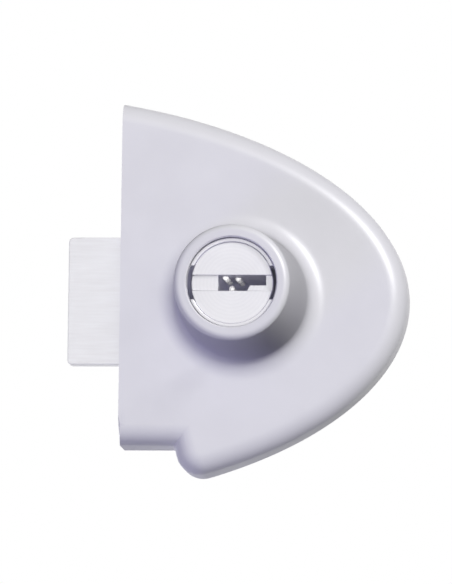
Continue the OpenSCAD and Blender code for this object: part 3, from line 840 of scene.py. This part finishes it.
class LOCK_OT_rear_plate(bpy.types.Operator):
    """Builds the plate behind the glass with its rounded rear edge and countersunk holes"""

    bl_idname = "lock.rear_plate"
    bl_label = "Rear plate"

    def execute(self, context):
        sizes = context.scene.lock_sizes
        fine = sizes.outline_steps
        line = CoverLine(HOUSING_HIGH[0], HOUSING_LOW[0])
        inset, low, high = REAR_LOW[0] - HOUSING_LOW[0], REAR_LOW[2], REAR_HIGH[2]
        edge, ease = mm(sizes.rear_edge), 0.15
        head_r, shaft_r, deburr, past = 4.2, 2.2, 0.2, 1
        rings = [
            line.ring(inset + edge * (1 - math.sin(t)), low + edge * (1 - math.cos(t)), fine)
            for t in np.linspace(0, math.pi / 2, QUARTER)
        ]
        rings += [line.ring(inset, high - ease, fine), line.ring(inset + ease, high, fine)]
        plate = loft("rear_plate_form", rings, False)
        # Countersunk holes in line with the bushes: a cone of 45 degrees under a small chamfer
        countersink = [
            (head_r + deburr, low - past),
            (head_r + deburr, low - 0.05),
            (head_r, low + 0.1),
            (shaft_r, low + 0.1 + head_r - shaft_r),
            (shaft_r, high + past),
        ]
        bush_r = (BUSH_HIGH[0] - BUSH_LOW[0]) / 2
        for side in (-1, 1):
            middle = (BUSH_LOW[0] + bush_r, side * (BUSH_HIGH[1] - bush_r))
            cut(plate, hole_tool(countersink, middle))
        shade(plate, 35)
        dress(plate, "die_cast")
        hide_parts("rear_plate")
        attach(plate, "lock_case")
        return {"FINISHED"}


def turned_pins(name, places, sides, profiles, steps=32):
    """Pins turned about axes along y. A place is (x, z) and a side is 1 for up or -1 for down. A
    profile (r, h) runs from the nose outwards, with h measured from the plug's axis; a point is (x
    + side r cos a, side h, z + r sin a), and the first and last circle close on a point of the
    axis."""
    a = 2 * math.pi * np.arange(steps) / steps
    r, h = np.moveaxis(np.asarray(profiles, float), -1, 0)
    pins, high = r.shape
    x, z = (np.asarray(places, float)[:, k, None, None] for k in (0, 1))
    side = np.asarray(sides, float)[:, None, None]
    wide, tall = r[..., None], h[..., None]
    circle = [x + side * wide * np.cos(a), side * tall + 0 * a, z + wide * np.sin(a)]
    rings = np.stack(circle, -1)
    tips = h[:, [0, -1]]
    ends = np.stack([x[..., 0] + 0 * tips, side[..., 0] * tips, z[..., 0] + 0 * tips], -1)
    points = np.concatenate([rings.reshape(-1, 3), ends.reshape(-1, 3)])
    index = np.arange(pins * high * steps).reshape(pins, high, steps)
    after = np.roll(index, -1, 2)
    quads = np.stack([index[:, :-1], index[:, 1:], after[:, 1:], after[:, :-1]], -1).reshape(-1, 4)
    pole = index.size + np.arange(2 * pins).reshape(pins, 2, 1)
    pole = np.broadcast_to(pole, (pins, 2, steps))
    noses = np.stack([pole[:, 0], index[:, 0], after[:, 0]], -1).reshape(-1, 3)
    tops = np.stack([pole[:, 1], after[:, -1], index[:, -1]], -1).reshape(-1, 3)
    return piece(name, points, quads.tolist() + noses.tolist() + tops.tolist())


class LOCK_OT_key_pins(bpy.types.Operator):
    """Builds the pins that the key lifts, with their thin round noses in the keyway"""

    bl_idname = "lock.key_pins"
    bl_label = "Key pins"

    def execute(self, context):
        nose_r, shank_r = mm(context.scene.lock_sizes.pin_nose), 1.0
        # Heights from the plug's axis: both kinds of nose, the shoulder, the top and its chamfer
        upper_nose, lower_nose, shoulder, top, chamfer = 0.8, 0.05, 1.45, PINS_HIGH[1], 0.06
        # The upper pins stand zigzag in six rows, and the lower ones in every other row
        rows = np.linspace(PINS_HIGH[2] - shank_r, PINS_LOW[2] + shank_r, 6)
        left, right, lower_x = PINS_LOW[0] + shank_r, PINS_HIGH[0] - shank_r, -0.3
        upper = np.column_stack([np.tile([left, right], 3), rows])
        lower = np.column_stack([np.full(3, lower_x), rows[::2]])
        # A ball round the nose, from a small flat to its full width
        t = np.linspace(0.15, math.pi / 2, 6)
        ball = nose_r * np.column_stack([np.sin(t), 1 - np.cos(t)])
        rest = [
            (nose_r, shoulder),
            (shank_r, shoulder + shank_r - nose_r),
            (shank_r, top - chamfer),
            (shank_r - chamfer, top),
        ]
        upper_form = np.vstack([ball + [0, upper_nose], rest])
        lower_form = np.vstack([ball + [0, lower_nose], rest])
        pins = turned_pins(
            "turned_pins",
            np.vstack([upper, lower]),
            [1] * len(upper) + [-1] * len(lower),
            [upper_form] * len(upper) + [lower_form] * len(lower),
        )
        shade(pins, 40)
        dress(pins, "nickel_silver")
        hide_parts("key_pins")
        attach(pins, "plug_body")
        return {"FINISHED"}


class LOCK_OT_metal_parts(bpy.types.Operator):
    """Finishes the cylinder, bolt, drive, plates and clamp with eased edges"""

    bl_idname = "lock.metal_parts"
    bl_label = "Cylinder, bolt and clamp"

    def execute(self, context):
        for part in frame["record"]["subparts"]:
            node, slot = part["node"], part["material_slot"]
            if node in EASED:
                eased(node, slot, EASED[node])
            elif not frame["nodes"][node].hide_render:
                dress(frame["nodes"][node], slot)
        return {"FINISHED"}


class LOCK_OT_stage(bpy.types.Operator):
    """Makes the floor, the lights, the white surroundings and the camera"""

    bl_idname = "lock.stage"
    bl_label = "Stage"

    def execute(self, context):
        build_floor()
        build_lights()
        build_world()
        build_camera()
        return {"FINISHED"}


def white_to_eye(tree):
    """1 for what the camera sees, straight, in gloss or through glass, and 0 for other light."""
    path = put(tree, "ShaderNodeLightPath").outputs
    seen = path["Is Camera Ray"]
    for ray in ("Is Glossy Ray", "Is Transmission Ray"):
        links = {0: seen, 1: path[ray]}
        seen = put(tree, "ShaderNodeMath", links, operation="MAXIMUM").outputs[0]
    return seen


def build_world():
    """White surroundings to look at, which give the object only a faint light from all round."""
    world = bpy.data.worlds.new("studio")
    bpy.context.scene.world = world
    world.use_nodes = True
    tree = world.node_tree
    tree.nodes.clear()
    strength = spread(tree, white_to_eye(tree), 0.0, 1.0, 0.03, 1.0)
    sky = put(tree, "ShaderNodeBackground", {"Strength": strength}, {"Color": (1, 1, 1, 1)})
    put(tree, "ShaderNodeOutputWorld", {"Surface": sky.outputs[0]})


def build_floor():
    """Pale floor that keeps the object's shadow. It shows from above only, so that a camera below
    it, as the photograph's is, still sees the whole object."""
    half, drop = 1200.0, 8.0
    x = np.array([-half, half, half, -half])
    out = np.array([half, half, -half, -half])
    points = np.column_stack([x, np.full(4, HOUSING_LOW[1] - drop), out])
    floor = piece("floor", points, [(0, 1, 2, 3)])
    mat = bpy.data.materials.new("pale_floor")
    mat.use_nodes = True
    tree = mat.node_tree
    tree.nodes.clear()
    # Dark for the light that it throws back, and near white with a glow of its own to the eye
    shaded = put(tree, "ShaderNodeBsdfDiffuse", values={"Color": linear("505054")})
    seen = put(tree, "ShaderNodeBsdfDiffuse", values={"Color": linear("E8E8EA")})
    glow = put(tree, "ShaderNodeEmission", values={"Color": (1, 1, 1, 1), "Strength": 0.6})
    seen = put(tree, "ShaderNodeAddShader", {0: seen.outputs[0], 1: glow.outputs[0]})
    eye = white_to_eye(tree)
    top = put(tree, "ShaderNodeMixShader", {0: eye, 1: shaded.outputs[0], 2: seen.outputs[0]})
    clear = put(tree, "ShaderNodeBsdfTransparent")
    side = put(tree, "ShaderNodeNewGeometry").outputs["Backfacing"]
    mix = put(tree, "ShaderNodeMixShader", {0: side, 1: top.outputs[0], 2: clear.outputs[0]})
    put(tree, "ShaderNodeOutputMaterial", {"Surface": mix.outputs[0]})
    floor.data.materials.append(mat)


def area_light(name, direction, size, level, code="FFFFFF", mirrored=False, bounces=True):
    """Soft square lamp that looks at the boss from a direction of the local frame. A white surface
    that faces the lamp comes out at the level: a lamp of P watts at d metres gives P / (pi d)^2.
    Only a mirrored lamp shows in glossy surfaces, and the light of one that doesn't bounce stops at
    the first surface."""
    distance = 1.5
    data = bpy.data.lights.new(name, "AREA")
    data.energy, data.size, data.color = level * (math.pi * distance) ** 2, size, linear(code)[:3]
    if not bounces:
        data.cycles.max_bounces = 0
    lamp = bpy.data.objects.new(name, data)
    lamp.visible_glossy = mirrored
    bpy.context.scene.collection.objects.link(lamp)
    d = unit(np.array(direction, float))
    row = Vector((d[0], -d[2], d[1]))
    boss_middle = Vector((0, -0.015, 0))
    lamp.location = row * distance + boss_middle
    lamp.rotation_euler = row.to_track_quat("Z", "Y").to_euler()
    return lamp


def link(lamp, kind, names, state="INCLUDE"):
    """Picks the pieces that a lamp lights, its receivers, or those that throw its shadows, its
    blockers. With the state EXCLUDE they are the ones that don't."""
    group = bpy.data.collections.new(lamp.name + "_" + kind)
    for obj in bpy.data.objects:
        if obj.type == "MESH" and obj.name.removesuffix("_eased") in names:
            group.objects.link(obj)
            group.collection_objects[-1].light_linking.link_state = state
    setattr(lamp.light_linking, kind + "_collection", group)


def build_lights():
    """The photograph is shaded plainly: the boss throws no shadow over the face and the face no
    light onto the boss. So the cover and the bolt have a key and a front lamp of their own, which
    pass through the lock and don't bounce, and the other pieces have theirs."""
    outside = ["cover", "bolt"]
    lock = ["cover", "turned_pins", *EASED]
    from_key = (0.59, 0.44, 0.68)
    key = area_light("key_on_cover", from_key, 0.4, 0.875, mirrored=True, bounces=False)
    link(key, "receiver", outside)
    link(key, "blocker", lock, "EXCLUDE")
    key = area_light("key", from_key, 0.4, 0.7, mirrored=True)
    link(key, "receiver", outside, "EXCLUDE")
    front = area_light("front_on_cover", (-0.3, -0.12, 0.95), 0.4, 0.27, bounces=False)
    link(front, "receiver", outside)
    link(front, "blocker", ["floor", *lock], "EXCLUDE")
    front = area_light("front", (0.0, -0.15, 0.99), 0.4, 0.38)
    link(front, "receiver", outside, "EXCLUDE")
    link(front, "blocker", ["floor"], "EXCLUDE")

    # The pins in the keyway, its walls with the rim's notches, and the bushes in the glass gap
    pins = area_light("pins", (0.1, -0.4, 0.9), 0.4, 1.0)
    link(pins, "receiver", ["turned_pins"])
    link(pins, "blocker", ["floor"], "EXCLUDE")
    slots = area_light("slots", (0.8, -0.58, 0.06), 0.4, 0.45, "DCDCFF")
    link(slots, "receiver", ["plug", "cylinder_body"])
    link(slots, "blocker", ["floor", *lock], "EXCLUDE")
    for name, x in (("gap_left", -1.0), ("gap_right", 1.0)):
        link(area_light(name, (x, 0.1, 0.0), 0.4, 0.6), "receiver", ["screw_bushes"])

    # A faint violet fill from the lower left, and a lamp for the rear plate
    low = area_light("low_left", (-0.68, -0.65, 0.35), 0.6, 0.27, "BBB4FF")
    link(low, "blocker", ["floor"], "EXCLUDE")
    area_light("rear", (-0.45, 0.25, -0.86), 0.8, 0.8)


def build_camera():
    """Camera worked out from the photograph, 1.87 m away and turned a little up and to the left.
    Its lengths are in pixels of the photograph, of which six make a millimetre on the cover's
    face."""
    rx, ry, rz = (math.radians(v) for v in (-7.024, -5.678, -0.791))
    px, distance, shift, picture_h, sensor = 1 / 6, 11206.0, np.array([17.37, -5.59, 0]), 584, 36.0
    turn = Matrix.Rotation(rz, 3, "Z") @ Matrix.Rotation(rx, 3, "X") @ Matrix.Rotation(ry, 3, "Y")
    turn = np.array(turn)
    face_z = HOUSING_HIGH[2] - CoverForm.boss_h
    place = turn.T @ (np.array([0, 0, distance]) - shift) * px + [0, 0, face_z]
    to_row = np.array([[1, 0, 0], [0, 0, -1], [0, 1, 0.0]])
    world = np.eye(4)
    world[:3, :3] = to_row @ turn.T
    world[:3, 3] = to_row @ place * MM
    data = bpy.data.cameras.new("camera")
    data.sensor_width, data.sensor_fit, data.lens = sensor, "AUTO", distance * sensor / picture_h
    data.clip_start, data.clip_end = 0.05, 20.0
    camera = bpy.data.objects.new("camera", data)
    bpy.context.scene.collection.objects.link(camera)
    camera.matrix_world = Matrix(world.tolist())
    bpy.context.scene.camera = camera


class LOCK_PT_panel(bpy.types.Panel):
    """Lists the lock's steps in the sidebar"""

    bl_label = "Glass Lock"
    bl_idname = "LOCK_PT_panel"
    bl_space_type = "VIEW_3D"
    bl_region_type = "UI"
    bl_category = "Glass Lock"

    def draw(self, context):
        for group in (context.scene.lock_sizes, context.scene.lock_colours):
            for name in group.bl_rna.properties.keys():
                if name not in ("rna_type", "name"):
                    self.layout.prop(group, name)
        for step in STEPS:
            self.layout.operator(step.bl_idname)


STEPS = [LOCK_OT_cover, LOCK_OT_rear_plate, LOCK_OT_key_pins, LOCK_OT_metal_parts, LOCK_OT_stage]
CLASSES = [LockSizes, LockColours, *STEPS, LOCK_PT_panel]


def register():
    """Makes the properties, steps and panel known to Blender."""
    for cls in CLASSES:
        bpy.utils.register_class(cls)
    bpy.types.Scene.lock_sizes = bpy.props.PointerProperty(type=LockSizes)
    bpy.types.Scene.lock_colours = bpy.props.PointerProperty(type=LockColours)


def unregister():
    """Takes them away again."""
    del bpy.types.Scene.lock_colours
    del bpy.types.Scene.lock_sizes
    for cls in reversed(CLASSES):
        bpy.utils.unregister_class(cls)


def main():
    """Runs the steps in order."""
    register()
    bpy.context.scene.view_settings.view_transform = "Standard"
    for step in STEPS:
        group, name = step.bl_idname.split(".")
        getattr(getattr(bpy.ops, group), name)()
    bpy.context.view_layer.update()


if __name__ == "__main__":
    main()
